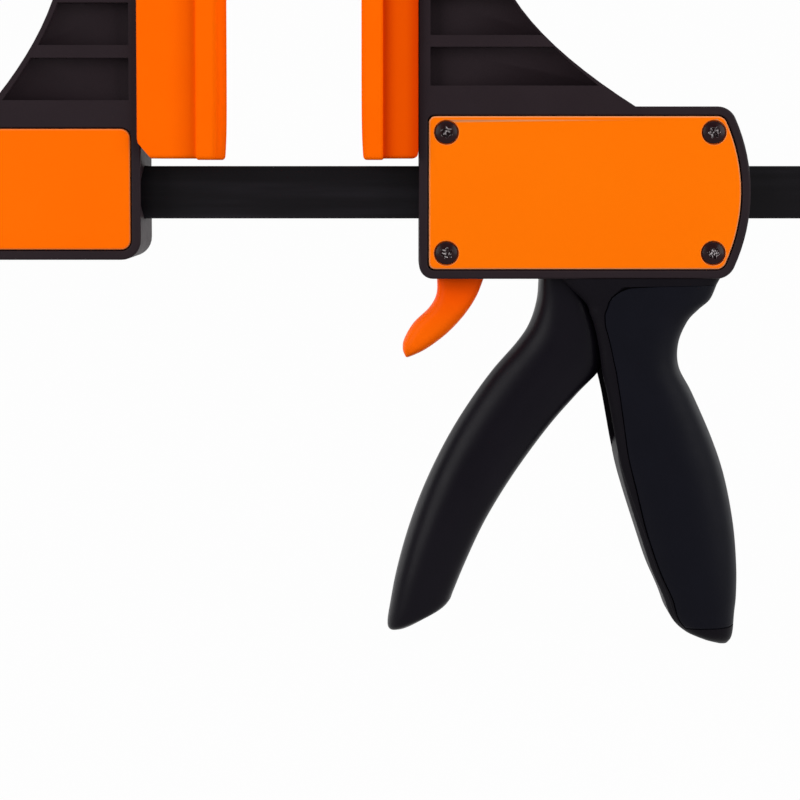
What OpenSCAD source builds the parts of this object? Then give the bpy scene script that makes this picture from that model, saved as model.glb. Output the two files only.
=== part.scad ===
// One-handed bar clamp with quick release.
// X runs along the bar from the fixed jaw to the free end, Y across it, and Z up the jaws.
// The modules are drawn about the bar's centre line, with X = 0 on the fixed jaw's clamping face,
// and from_pad() puts the origin at the middle of that face.

/* [Bar] */
// Height of the flat bar
bar_h = 19; // [17:0.5:21]
// Thickness of the flat bar
bar_t = 6; // [5:0.5:7]
// Length of bar past the fixed jaw's clamping face
bar_reach = 300; // [280:5:400]
// Edge break along the bar's corners
bar_edge = 0.6; // [0.3:0.1:1]
// Running gap between the bar and what slides on it
bar_gap = 0.3; // [0.2:0.05:0.5]
// Diameter of the stop pin at the free end
stop_pin_d = 4; // [3:0.5:5]
// Distance of the stop pin from the bar's end
stop_pin_inset = 8; // [6:1:14]

/* [Jaws] */
// Opening between the pads at rest
opening = 51; // [20:1:80]
// Height of the jaw tips above the bar's centre line
jaw_top = 94.4; // [85:0.2:110]
// Thickness of the moulded jaws across the bar
jaw_t = 30; // [29:0.5:34]
// Depth of each jaw arm at its tip
tip_depth = 27; // [24:1:32]
// Radius of the tip's back corner
tip_r = 7; // [4:1:10]
// Width of the edge rim and of the ribs on the arms
rib_w = 4; // [3:0.5:5]
// Depth of the pockets between the ribs
pocket_depth = 5; // [3:0.5:7]
// Thickness of the tongue that holds a pad
tongue_t = 26; // [22:0.5:27]

/* [Fixed jaw] */
// Length of the fixed jaw's foot along the bar
foot_len = 64; // [56:1:80]
// Foot below the bar's centre line
foot_drop = 23.9; // [21:0.1:27]
// Foot above the bar's centre line
foot_rise = 26.4; // [22:0.2:28]
// Corner radius of the foot
foot_r = 7; // [4:0.2:8]
// Width of the rim round the foot's plates
foot_rim_w = 3.2; // [2.5:0.1:4]
// Distance between the two rivets
rivet_pitch = 32; // [24:1:40]
// Diameter of the rivets
rivet_d = 5; // [4:0.5:6]
// Depth of the open mouth that the bar leaves the foot through
mouth_depth = 14; // [8:1:20]
// Width of the mouth across the bar
mouth_w = 27.6; // [24:0.2:28]

/* [Pads] */
// Width of the pads' clamping flange
flange_w = 40; // [36:1:44]
// Thickness of the flange
flange_t = 7.5; // [6:0.5:9]
// Width of the pads behind the flange
neck_w = 35; // [34.5:0.5:35.5]
// Length of the fixed pad behind its flange
fixed_neck = 20.2; // [16:0.2:24]
// Length of the movable pad behind its flange
movable_neck = 12.9; // [11:0.1:15]
// How much further the flange reaches than the neck, at each end
flange_over = 0.5; // [0.2:0.1:1]
// Gap between the bar and the pads' lower ends
pad_lift = 3.1; // [2:0.1:5]
// Wall of soft plastic under and over the tongue
pad_wall = 3.2; // [2.5:0.1:4]
// Soft plastic between the tongue and the clamping face
pad_face_wall = 4.7; // [4:0.1:5.5]
// Radius of the pads' upright edges
pad_edge_r = 1.8; // [1:0.1:2.5]

/* [Housing] */
// Length of the housing to the middle of its round back
housing_len = 118.1; // [117:0.1:122]
// Height of the housing
housing_h = 61.4; // [60:0.2:64]
// Corner radius at the housing's front
housing_r = 5; // [4:0.5:7]
// Radius of the housing's back
back_r = 65; // [62:1:80]
// Corner radius at the housing's back
back_corner_r = 7; // [4:0.5:9]
// Wall above and below the mechanism
housing_wall = 5.5; // [5:0.1:6.5]
// Width of the rim round the side plates
rim_w = 3; // [2.5:0.1:4]
// Thickness of the side plates
plate_t = 2.6; // [2:0.1:3]
// How far the plates lie below the rim
plate_sunk = 0.4; // [0.2:0.1:0.8]
// Gap round the side plates
plate_gap = 0.4; // [0.1:0.05:0.5]
// Least corner radius of the side plates
plate_r = 2.4; // [1.5:0.1:3]

/* [Screws] */
// Diameter of the screw heads
screw_head_d = 8; // [7.4:0.1:8.4]
// Height of the screw heads
screw_head_h = 2.4; // [1.8:0.1:2.8]
// Diameter of the screw shanks
screw_d = 4; // [3:0.5:4.5]
// Length of the screws under the head
screw_len = 10; // [8:0.5:11]
// Gap round the screw heads, which are sunk in the plates
screw_sink = 0.45; // [0.3:0.05:0.6]
// Distance of the front screws from the housing's front
screw_front = 9.7; // [9.2:0.1:10.2]
// Distance of the back screws from the housing's back
screw_back = 13.3; // [12.6:0.1:14.5]
// Distance of the screws from the housing's top and underside
screw_edge = 9.2; // [9:0.1:10]

/* [Mechanism] */
// Thickness of one drive plate
drive_plate_t = 3; // [2.5:0.1:3.2]
// Number of drive plates in the stack
drive_plate_n = 3; // [2:1:3]
// Width of the steel plates across the bar
steel_w = 22; // [21:0.5:23]
// Thickness of the brake plate
brake_t = 3; // [2.5:0.1:3.2]
// Tilt of the locked brake plate, and the travel of the trigger
brake_tilt = 8; // [6:0.5:8]
// Depth of the brake plate's pivot under the chamber's roof
brake_roof = 4.7; // [4.4:0.1:5]
// How far the brake plate ends above the housing's underside
brake_short = 4.2; // [4:0.1:4.6]
// Distance of the brake plate's pivot from the housing's front
brake_pivot_u = 25.6; // [25.2:0.1:26]
// Distance of the lever's pivot from the housing's front
lever_pivot_u = 53.6; // [53.4:0.1:53.8]
// Depth of the lever's pivot under the chamber's roof
lever_roof = 5.2; // [5:0.1:5.4]
// Diameter of the lever's pivot pin
pivot_d = 5; // [4:0.5:5]
// Travel of the squeeze lever in degrees
squeeze = 15; // [10:1:15]
// Depth of the cam pin below the bar's lower edge
cam_under = 5; // [4.8:0.1:5.2]
// Diameter of the cam pin
cam_d = 6; // [5:0.5:6]
// Housing left solid behind the drive spring
back_wall = 18; // [17:0.5:20]
// Wire of the drive spring
drive_wire = 1.4; // [1:0.1:1.5]
// Turns of the drive spring
drive_turns = 7; // [4:1:8]
// Wire of the brake spring
brake_wire = 1.2; // [1:0.1:1.4]
// Turns of the brake spring
brake_turns = 3; // [2:1:4]

/* [Handles] */
// Length of the handle below the housing
handle_drop = 134; // [128:0.1:140]
// Half the width of the squeeze lever where it enters the handle
lever_half = 10.5; // [9.5:0.1:10.6]
// Side gap between the lever and the handle's cheeks
lever_side_gap = 0.5; // [0.3:0.1:0.8]
// Thickness of the soft grip over the handle's core
grip_t = 2; // [1.5:0.1:2.2]
// Half the width of the release trigger
trigger_half = 7; // [6:0.5:8]

/* [Hidden] */
$fn = 48;
far = 400;
eps = 0.01;
fit_gap = 0.05;
running_gap = 0.3;

orange = [1, 0.42, 0.02];
plate_orange = [1, 0.48, 0.06];
nylon_black = [0.14, 0.13, 0.14];
grip_black = [0.1, 0.1, 0.11];
bar_black = [0.16, 0.15, 0.17];
steel = [0.6, 0.6, 0.62];

// Pads: from just above the bar to just above the jaw tips
pad_z0 = bar_h / 2 + pad_lift;
pad_z1 = jaw_top + pad_wall;
pad_mid_z = (pad_z0 + pad_z1) / 2;

// Fixed jaw
foot_x1 = -flange_t - fixed_neck;
foot_x0 = foot_x1 - foot_len;
foot_mid_x = (foot_x0 + foot_x1) / 2;
bar_x0 = foot_x0 + 8;
bar_x1 = bar_reach;
stop_x = bar_x1 - stop_pin_inset;

// Housing, drawn in U = distance behind its front face, so that it moves with the opening
housing_x0 = opening + flange_t + movable_neck;
half_h = housing_h / 2;
recess_d = plate_t + plate_sunk;
inner_t = jaw_t - 2 * recess_d;
chamber_z = half_h - housing_wall;
chamber_r = 1.5;
arc_steps = 8;

// Brake chamber, partition and drive chamber
brake_front_room = 12;
brake_back_room = 10.4;
fork_room = 14;
brake_u0 = brake_pivot_u - brake_front_room;
brake_u1 = brake_pivot_u + brake_back_room;
drive_u0 = lever_pivot_u - fork_room;
drive_u1 = housing_len - back_wall;
lever_pivot_z = chamber_z - lever_roof;
brake_pivot_z = chamber_z - brake_roof;

// Steel plates stand behind the cam pin
plate_u = lever_pivot_u + cam_d / 2 + running_gap;
plate_stack = drive_plate_n * drive_plate_t;
cam_drop = lever_pivot_z + bar_h / 2 + cam_under;
plate_above = 6.5;
plate_below = 3.5;
plate_top = bar_h / 2 + plate_above;
plate_bottom = lever_pivot_z - cam_drop - plate_below;
window_gap = 0.4;
brake_window = bar_h + 1.4;
brake_len = brake_pivot_z + half_h - brake_short;

// ---- curves -------------------------------------------------------------------------------

// Points on an arc of radius r about c, from angle a0 to a1
function arc(c, r, a0, a1, n = arc_steps) =
    [for (i = [0:n]) let (a = a0 + (a1 - a0) * i / n) c + r * [cos(a), sin(a)]];

// Rectangle with round corners, anticlockwise
function rounded_box(x0, y0, x1, y1, r) = concat(
    arc([x1 - r, y0 + r], r, -90, 0), arc([x1 - r, y1 - r], r, 0, 90),
    arc([x0 + r, y1 - r], r, 90, 180), arc([x0 + r, y0 + r], r, 180, 270));

// Side outline of the housing, moved inwards by inset: round corners in front, and one big arc
// at the back that rolls into the top and bottom edges through smaller corner arcs
function housing_outline(inset) =
    let (r = max(housing_r - inset, plate_r), h = half_h - inset, big = back_r - inset,
        rc = max(back_corner_r - inset, plate_r), cu = housing_len - back_r,
        ku = cu + sqrt(pow(big - rc, 2) - pow(h - rc, 2)), ka = atan2(h - rc, ku - cu))
    concat(
        arc([ku, rc - h], rc, -90, -ka), arc([cu, 0], big, -ka, ka, 16),
        arc([ku, h - rc], rc, ka, 90),
        arc([inset + r, h - r], r, 90, 180), arc([inset + r, r - h], r, 180, 270));

// Depth of a jaw arm at the share u of its height: deep at the root, slender at the tip
function arm_depth(root, u) = tip_depth + (root - tip_depth) * pow(1 - u, 1.8);

// Side outline of a jaw arm from height z0 up, with its front at X = 0 and its back at +X
function arm_outline(root, z0) = concat(
    [[0, z0]],
    [for (i = [0:14]) let (u = i / 14) [arm_depth(root, u), z0 + (jaw_top - tip_r - z0) * u]],
    arc([tip_depth - tip_r, jaw_top - tip_r], tip_r, 0, 90),
    [[0, jaw_top]]);

// Pocket between two ribs of the arm, from share ua to share ub of the height
function pocket_outline(root, z0, ua, ub) = concat(
    [[rib_w, z0 + (jaw_top - z0) * ua]],
    [for (i = [0:6]) let (u = ua + (ub - ua) * i / 6)
        [arm_depth(root, u) - rib_w, z0 + (jaw_top - z0) * u]],
    [[rib_w, z0 + (jaw_top - z0) * ub]]);

// Catmull-Rom curve through a table of stations, at the parameter t
function at(st, t) =
    let (n = len(st) - 1, i = min(floor(t), n - 1), f = t - i,
        p0 = st[max(i - 1, 0)], p1 = st[i], p2 = st[i + 1], p3 = st[min(i + 2, n)])
    0.5 * (2 * p1 + (p2 - p0) * f + (2 * p0 - 5 * p1 + 4 * p2 - p3) * f * f
        + (3 * p1 - p0 - 3 * p2 + p3) * f * f * f);

// Power that keeps its base's sign
function spow(v, e) = sign(v) * pow(abs(v), e);

// One point of a super-ellipse section at angle a, where 0 is the front edge and 180 the back.
// s is a row of a station table, and the section is drawn inset all round.
function on_section(s, a, inset) =
    let (mid = [(s[0] + s[2]) / 2, (s[1] + s[3]) / 2], ax = [(s[2] - s[0]) / 2, (s[3] - s[1]) / 2],
        k = 1 - inset / norm(ax), e = 2 / (cos(a) > 0 ? s[6] : s[7]), c = -spow(cos(a), e) * k)
    [mid[0] + ax[0] * c, (s[4] - inset) * spow(sin(a), e), -half_h - mid[1] - ax[1] * c];

// Angle on the section where the seam lies, which is s[5] of the way from front to back
function seam_angle(s) = acos(spow(1 - 2 * s[5], s[6] / 2));

// Closed solid through rings of points, all of the same length
module loft(rings) {
    n = len(rings[0]);
    m = len(rings);
    polyhedron(
        points = [for (r = rings) each r],
        faces = concat(
            [[for (j = [0:n - 1]) j]],
            [for (i = [0:m - 2], j = [0:n - 1]) let (k = (j + 1) % n)
                each [[i * n + j, (i + 1) * n + j, (i + 1) * n + k],
                    [i * n + j, (i + 1) * n + k, i * n + k]]],
            [[for (j = [n - 1:-1:0]) (m - 1) * n + j]]));
}

// ---- stations of the handles --------------------------------------------------------------
// Each row is [front u, front drop, back u, back drop, half width, seam share, squareness of the
// front, squareness of the back].
// In the tables u is measured from the pivot, drop from the housing's underside, and the half
// width is what a section has more than the named half, all for a handle of 134 mm.

handle_half = jaw_t / 2;
hand_k = handle_drop / 134;
function sized(rows, u0, half) =
    [for (s = rows) [u0 + s[0] * hand_k, s[1] * hand_k, u0 + s[2] * hand_k, s[3] * hand_k,
        half + s[4] * hand_k, s[5], s[6], s[7]]];

handle_stations = sized([
    [-4, 0, 55.6, 0, 0, 0.46, 6, 6],
    [-0.3, 3.2, 54.5, 2.4, 0, 0.44, 7, 5],
    [5.3, 8.9, 52.1, 7.8, 0, 0.18, 6, 4],
    [7, 12.9, 48.4, 11.4, 0, 0.135, 6, 3.6],
    [8.6, 17.2, 44.1, 15.9, 0, 0.12, 6, 3.2],
    [10.3, 25, 40.7, 23.8, -0.3, 0.15, 6, 2.8],
    [11.6, 34, 41, 32.6, -0.5, 0.18, 6, 2.6],
    [13.7, 43.4, 45.9, 42.2, -0.5, 0.145, 6, 2.5],
    [17.6, 63.9, 53.2, 58.8, 0, 0.115, 5, 2.5],
    [20.9, 77.8, 57.5, 73, 0.5, 0.12, 3.4, 2.5],
    [25.4, 91.8, 60.6, 90, 0.6, 0.12, 2.7, 2.5],
    [30.4, 105.8, 61.5, 105, 0.2, 0.13, 2.6, 2.5],
    [34.8, 116, 61.5, 116, -0.8, 0.155, 2.6, 2.5],
    [38.4, 124, 61.2, 123, -2.4, 0.15, 2.6, 2.5],
    [42.6, 129, 60.8, 129, -4, 0.14, 2.6, 2.5],
    [48.6, 132, 60.4, 132, -6.5, 0.12, 2.4, 2.4],
    [54.6, 134, 59.4, 134, -10.5, 0.12, 2.2, 2.2]], lever_pivot_u, handle_half);
grip_start = 1;
grip_end = 13;
handle_side = 12;
seam_step = 0.2;
seam_deg = 1;
grip_gap = 0.15;

lever_stations = sized([
    [-9, -6.5, 1.6, -6.5, 0, 0, 5, 5],
    [-9.7, 0, 1.8, 0, 0, 0, 5, 5],
    [-9.8, 8.5, 7, 8, 0, 0, 4.5, 4.5],
    [-12.3, 17.2, 11.4, 17, 0, 0, 3.8, 4],
    [-17.1, 24.5, 13.4, 26, 0, 0, 3.2, 3.6],
    [-26.4, 34.5, 12.7, 33, 0, 0, 2.8, 3.4],
    [-34.8, 45.7, 4.4, 42.8, 0, 0, 2.6, 3.4],
    [-42, 57.8, -4.6, 53.1, 0.2, 0, 2.5, 3.2],
    [-48.4, 70.8, -13.8, 64.8, 0.8, 0, 2.5, 3],
    [-53.6, 83.4, -22.3, 76.9, 1.5, 0, 2.5, 3],
    [-57.9, 96.5, -29.7, 89.5, 1.8, 0, 2.5, 3],
    [-61.4, 109.5, -36.2, 103, 1.6, 0, 2.5, 3],
    [-63.8, 120, -41.2, 114.4, 1, 0, 2.5, 3],
    [-65, 126.6, -42.4, 117.2, 0.2, 0, 2.5, 3],
    [-64.3, 129.2, -44.4, 119.6, -1.2, 0, 2.4, 2.8],
    [-61.6, 129.6, -47.4, 121.5, -4, 0, 2.2, 2.6]], lever_pivot_u, lever_half);

trigger_stations = sized([
    [-19, -0.8, -1.6, -0.8, 0, 0, 5, 5],
    [-18.6, 6, -4, 7, 0, 0, 4, 4],
    [-21, 11.8, -8.4, 14.2, 0, 0, 3, 3],
    [-26.8, 17.6, -14.8, 21, -0.3, 0, 2.8, 2.8],
    [-30.5, 23.4, -22, 26.8, -0.8, 0, 2.6, 2.6],
    [-31.5, 27.6, -26.6, 29.6, -1.8, 0, 2.4, 2.4],
    [-30.8, 30, -29.2, 30.6, -3.4, 0, 2.2, 2.2]], brake_pivot_u, trigger_half);

// Parameters of the rings, steps to a station, and the rings themselves
function steps(a, b, n) = [for (i = [0:n]) a + (b - a) * i / n];
function rings_of(st, side, params) =
    [for (t = params) let (s = at(st, t))
        [for (j = [0:2 * side - 1]) on_section(s, 180 * j / side, 0)]];

// Section of the handle's core: full width on the front strip, and lower under the grip
function core_section(s, inset) =
    let (a = seam_angle(s))
    concat(
        [for (j = [0:4]) on_section(s, -a + 2 * a * j / 4, 0)],
        [for (j = [0:2 * handle_side - 4])
            on_section(s, a + (360 - 2 * a) * j / (2 * handle_side - 4), inset)]);

// Section of the grip: its outer skin from seam to seam round the back, then back inside
function grip_section(s) =
    let (a = seam_angle(s) + seam_deg, n = 2 * handle_side - 4)
    concat(
        [for (j = [0:n]) on_section(s, a + (360 - 2 * a) * j / n, 0)],
        [for (j = [n:-1:0]) on_section(s, a + (360 - 2 * a) * j / n, grip_t - grip_gap)]);

core_params = concat(steps(0, grip_start - 0.1, 2), steps(grip_start, grip_end, 26),
    steps(grip_end + 0.12, len(handle_stations) - 1, 8));
function core_inset(t) = t < grip_start || t > grip_end ? seam_step : grip_t;

// ---- placing ------------------------------------------------------------------------------

// Puts the origin at the middle of the fixed jaw's clamping face
module from_pad() {
    translate([0, 0, -pad_mid_z]) children();
}

// Moves what is drawn behind the housing's front to its place on the bar
module on_carriage() {
    from_pad() translate([housing_x0, 0, 0]) children();
}

// A side profile in X and Z, extruded across the bar about its middle
module across(t) {
    rotate([90, 0, 0]) linear_extrude(t, center = true) children();
}

// A round bar across, centred
module pin(d, len) {
    rotate([90, 0, 0]) cylinder(d = d, h = len, center = true);
}

// Window for the bar, with a gap all round
module bar_window(x0, x1, gap) {
    translate([x0, -bar_t / 2 - gap, -bar_h / 2 - gap])
        cube([x1 - x0, bar_t + 2 * gap, bar_h + 2 * gap]);
}

// The same shape on the front and on the back
module both_sides() {
    children();
    mirror([0, 1, 0]) children();
}

// Recess for a side plate on both sides, with its floor where the plate's inner face lies
module plate_recess() {
    both_sides() translate([0, inner_t / 2 + jaw_t / 2, 0]) across(jaw_t) children();
}

// ---- bar ----------------------------------------------------------------------------------

// Cross section of the bar with its corners broken
module bar_section() {
    polygon(rounded_box(-bar_t / 2, -bar_h / 2, bar_t / 2, bar_h / 2, bar_edge));
}

module bar() {
    color(bar_black) from_pad() difference() {
        translate([bar_x0, 0, 0]) rotate([90, 0, 90]) linear_extrude(bar_x1 - bar_x0) bar_section();
        for (x = rivet_places()) translate([x, 0, 0]) pin(rivet_d + 2 * fit_gap, jaw_t);
        translate([stop_x, 0, 0]) pin(stop_pin_d + 2 * fit_gap, jaw_t);
    }
}

module bar_stop_pin() {
    color(steel) from_pad() translate([stop_x, 0, 0]) pin(stop_pin_d, bar_t + 8);
}

// ---- fixed jaw ----------------------------------------------------------------------------

function rivet_places() = [foot_mid_x - rivet_pitch / 2, foot_mid_x + rivet_pitch / 2];

function foot_outline(inset) =
    rounded_box(foot_x0 + inset, inset - foot_drop, foot_x1 - inset, foot_rise - inset,
        max(foot_r - inset, plate_r));

// An arm with its pockets and the tongue for its pad, with its front at X = 0 and its back at +X
module arm(root, z0, nose) {
    difference() {
        across(jaw_t) polygon(arm_outline(root, z0));
        for (k = [0:2]) both_sides()
            translate([0, jaw_t / 2 - pocket_depth / 2 + eps, 0]) across(pocket_depth)
                polygon(pocket_outline(root, z0, 0.18 + 0.26 * k, 0.38 + 0.26 * k));
    }
    translate([-nose, -tongue_t / 2, pad_z0 + pad_wall])
        cube([nose + rib_w, tongue_t, jaw_top - pad_z0 - pad_wall]);
}

// Open mouth round the bar, eight-sided: a wide flare in the rim and a narrower socket behind it
module bar_mouth() {
    flare = foot_rim_w - 0.6;
    top = bar_h / 2 + fit_gap;
    for (m = [[foot_x1 - mouth_depth, mouth_w / 2 - 4.6], [foot_x1 - flare, mouth_w / 2]])
        translate([m[0], 0, 0]) rotate([90, 0, 90]) linear_extrude(foot_x1 - m[0] + eps)
            polygon([for (p = [[m[1], -0.48], [m[1], 0.48], [bar_t / 2 + 2, 1], [-bar_t / 2 - 2, 1],
                [-m[1], 0.48], [-m[1], -0.48], [-bar_t / 2 - 2, -1], [bar_t / 2 + 2, -1]])
                [p[0], p[1] * top]]);
}

module fixed_jaw_body() {
    color(nylon_black) from_pad() difference() {
        union() {
            across(jaw_t) polygon(foot_outline(0));
            translate([foot_x1, 0, 0]) mirror([1, 0, 0])
                arm(foot_len, foot_rise - foot_r, flange_t + fixed_neck - pad_face_wall);
        }
        bar_mouth();
        plate_recess() polygon(foot_outline(foot_rim_w));
        bar_window(bar_x0 - fit_gap, far, fit_gap);
        for (x = rivet_places()) translate([x, 0, 0]) pin(rivet_d + 2 * fit_gap, jaw_t);
    }
}

// Orange plate set into the foot, drawn on the back side
module foot_plate() {
    translate([0, inner_t / 2 + plate_t / 2, 0]) across(plate_t)
        polygon(foot_outline(foot_rim_w + plate_gap));
}

module fixed_jaw_front_plate() {
    color(plate_orange) from_pad() mirror([0, 1, 0]) foot_plate();
}

module fixed_jaw_back_plate() {
    color(plate_orange) from_pad() foot_plate();
}

module fixed_jaw_rivets() {
    color(steel) from_pad() for (x = rivet_places()) translate([x, 0, 0]) pin(rivet_d, inner_t);
}

// ---- pads ---------------------------------------------------------------------------------

// Soft shoe with its clamping face at X = 0 and its open back at -X. The neck's lower back
// corner is cut off by neck_cut, and the shoe's lips reach lip past the jaw's front face.
module jaw_pad(neck, lip, neck_cut) {
    h = pad_z1 - pad_z0;
    back = -flange_t - neck;
    difference() {
        union() {
            translate([0, 0, pad_z0]) linear_extrude(h) polygon(
                rounded_box(-flange_t, -flange_w / 2, 0, flange_w / 2, pad_edge_r));
            translate([0, 0, pad_z0 + flange_over]) linear_extrude(h - 2 * flange_over) polygon(
                rounded_box(back - lip, -neck_w / 2, -pad_edge_r, neck_w / 2, pad_edge_r));
        }
        translate([back - lip - eps, -tongue_t / 2 - fit_gap, pad_z0 + pad_wall - fit_gap])
            cube([neck + lip + flange_t - pad_face_wall + fit_gap + eps,
                tongue_t + 2 * fit_gap, h - 2 * pad_wall + 2 * fit_gap]);
        translate([back - far, -jaw_t / 2 - fit_gap, 0]) cube([far + eps, jaw_t + 2 * fit_gap, far]);
        across(far) polygon([[back - lip - 1, pad_z0 + neck_cut], [back - lip - 1, 0],
            [back - lip + neck_cut, pad_z0 - 1], [back - lip + neck_cut - 1, pad_z0],
            [back - lip, pad_z0 + neck_cut]]);
    }
}

module fixed_jaw_pad() {
    color(orange) from_pad() jaw_pad(fixed_neck, 0.9, 6);
}

module movable_jaw_pad() {
    color(orange) from_pad() translate([opening, 0, 0]) mirror([1, 0, 0])
        jaw_pad(movable_neck - running_gap, 0, 2);
}

// ---- housing ------------------------------------------------------------------------------

// Places of the cover screws, as [u, z]
function screw_places() = [for (u = [screw_front, housing_len - screw_back], k = [-1, 1])
    [u, k * (half_h - screw_edge)]];

// Turns a side point about the lever's pivot, so that what hangs below it moves back by a
function squeezed(p, a) =
    let (d = p - [lever_pivot_u, lever_pivot_z])
    [lever_pivot_u + d[0] * cos(a) - d[1] * sin(a), lever_pivot_z + d[1] * cos(a) + d[0] * sin(a)];

// Rear edge of the squeezed lever, as a list of side points with a gap behind it
channel_gap = 0.8;
function lever_rear() = [for (t = steps(0, 9, 18)) let (s = at(lever_stations, t))
    squeezed([s[2], -half_h - s[3]], squeeze) + [channel_gap, 0]];

// Room that the lever needs in the housing's underside and between the handle's cheeks
module lever_channel() {
    front = lever_stations[1][0] - running_gap;
    across(2 * (lever_half + lever_side_gap)) polygon(concat(
        [[front, -chamber_z + eps], [lever_rear()[0][0], -chamber_z + eps]],
        lever_rear(),
        [[-far, lever_rear()[18][1]], [-far, -half_h - 1], [front, -half_h - 1]]));
}

// Slot in the housing's underside for the trigger's swing
module trigger_slot() {
    reach = (half_h + brake_pivot_z) * sin(brake_tilt) + 1;
    translate([trigger_stations[0][0] - 0.5, -trigger_half - 0.5, -half_h - 1])
        cube([trigger_stations[0][2] - trigger_stations[0][0] + 1 + reach, 2 * trigger_half + 1,
            housing_wall + 1 + eps]);
}

// Seat in the housing's roof that the brake plate's round top edge hangs in
module brake_seat() {
    w = brake_t / 2 + fit_gap + 0.05;
    difference() {
        translate([brake_pivot_u - 4.5, -inner_t / 2, brake_pivot_z - 2])
            cube([9, inner_t, chamber_z - brake_pivot_z + 2 + eps]);
        translate([brake_pivot_u, 0, brake_pivot_z]) pin(2 * w, far);
        across(far) polygon([[brake_pivot_u - w, brake_pivot_z],
            [brake_pivot_u - w - brake_pivot_z * tan(brake_tilt + 3), 0],
            [brake_pivot_u + w + brake_pivot_z * tan(3), 0], [brake_pivot_u + w, brake_pivot_z]]);
    }
}

module carriage_body() {
    color(nylon_black) on_carriage() {
        difference() {
            union() {
                across(jaw_t) polygon(housing_outline(0));
                arm(housing_len * 0.72, half_h - housing_r, flange_t + movable_neck - pad_face_wall);
            }
            plate_recess() polygon(housing_outline(rim_w));
            across(inner_t + 2 * eps) polygon(
                rounded_box(brake_u0, -chamber_z, brake_u1, chamber_z, chamber_r));
            across(inner_t + 2 * eps) polygon(
                rounded_box(drive_u0, -chamber_z, drive_u1, chamber_z, chamber_r));
            bar_window(-1, housing_len + 1, bar_gap);
            lever_channel();
            trigger_slot();
            both_sides() for (p = screw_places()) translate([p[0], 0, p[1]]) rotate([90, 0, 0])
                translate([0, 0, inner_t / 2 - screw_len])
                    cylinder(d = screw_d + 2 * fit_gap, h = far);
        }
        brake_seat();
    }
}

// Side plate of the housing, drawn on the back side, with the seat for the lever's pin
pin_seat = 1.2;
module cover_plate() {
    difference() {
        union() {
            translate([0, inner_t / 2 + plate_t / 2, 0]) across(plate_t)
                polygon(housing_outline(rim_w + plate_gap));
        }
        for (p = screw_places()) translate([p[0], inner_t / 2, p[1]]) rotate([-90, 0, 0]) {
            translate([0, 0, -1]) cylinder(d = screw_d + 0.4, h = far);
            translate([0, 0, plate_t - screw_head_h + 1])
                cylinder(d = screw_head_d + 2 * screw_sink, h = far);
        }
        translate([lever_pivot_u, 0, lever_pivot_z])
            pin(pivot_d + 2 * fit_gap, inner_t + 2 * pin_seat + 2 * fit_gap);
    }
}

module front_cover_plate() {
    color(plate_orange) on_carriage() mirror([0, 1, 0]) cover_plate();
}

module back_cover_plate() {
    color(plate_orange) on_carriage() cover_plate();
}

// Pan head screw along Y from the plate's counterbore, with a six-lobe recess
module cover_screw() {
    seat = inner_t / 2 + plate_t - screw_head_h + 1;
    lobe_r = screw_head_d * 0.25;
    rotate([-90, 0, 0]) {
        translate([0, 0, seat - screw_len]) cylinder(d = screw_d, h = screw_len + eps);
        translate([0, 0, seat]) difference() {
            intersection() {
                cylinder(d = screw_head_d, h = screw_head_h);
                translate([0, 0, screw_head_h - screw_head_d]) sphere(r = screw_head_d, $fn = 64);
            }
            translate([0, 0, screw_head_h - 1.5]) {
                cylinder(r = lobe_r * 0.82, h = 2);
                for (k = [0:5]) rotate([0, 0, 60 * k]) translate([lobe_r * 0.72, 0, 0])
                    cylinder(r = lobe_r * 0.3, h = 2, $fn = 16);
            }
        }
    }
}

module front_cover_screws() {
    color(nylon_black) on_carriage() mirror([0, 1, 0])
        for (p = screw_places()) translate([p[0], 0, p[1]]) cover_screw();
}

module back_cover_screws() {
    color(nylon_black) on_carriage()
        for (p = screw_places()) translate([p[0], 0, p[1]]) cover_screw();
}

// ---- handle -------------------------------------------------------------------------------

module pistol_handle() {
    color(nylon_black) on_carriage() difference() {
        loft([for (t = core_params) core_section(at(handle_stations, t), core_inset(t))]);
        lever_channel();
    }
}

module handle_grip() {
    color(grip_black) on_carriage() difference() {
        loft([for (t = steps(grip_start, grip_end, 26)) grip_section(at(handle_stations, t))]);
        lever_channel();
    }
}

// ---- squeeze lever ------------------------------------------------------------------------

fork_half = 8;
fork_inner = bar_t / 2 + 0.7;
fork_w = 8.4;
boss_r = pivot_d / 2 + 2.3;
module squeeze_lever() {
    root_z = -half_h - lever_stations[0][1];
    color(grip_black) on_carriage() {
        difference() {
            union() {
                across(2 * fork_half) polygon([
                    [lever_pivot_u - boss_r, lever_pivot_z], [lever_pivot_u - fork_w + 2.4, root_z - 1],
                    [lever_pivot_u + 1.6, root_z - 1], [lever_pivot_u + 2.4, lever_pivot_z - cam_drop],
                    [lever_pivot_u + 2.4, lever_pivot_z]]);
                translate([lever_pivot_u, 0, lever_pivot_z]) pin(2 * boss_r, 2 * fork_half);
            }
            translate([0, -fork_inner, -bar_h / 2 - 2.2]) cube([far, 2 * fork_inner, far]);
            translate([lever_pivot_u, 0, lever_pivot_z]) pin(pivot_d + 2 * fit_gap, far);
            translate([lever_pivot_u, 0, lever_pivot_z - cam_drop]) pin(cam_d + 2 * fit_gap, far);
        }
        loft(rings_of(lever_stations, 12, steps(0, len(lever_stations) - 1, 40)));
    }
}

module lever_pivot_pin() {
    color(steel) on_carriage() translate([lever_pivot_u, 0, lever_pivot_z])
        pin(pivot_d, inner_t + 2 * pin_seat);
}

module drive_cam_pin() {
    color(steel) on_carriage() translate([lever_pivot_u, 0, lever_pivot_z - cam_drop])
        pin(cam_d, 2 * fork_half);
}

// ---- steel plates and springs -------------------------------------------------------------

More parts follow.
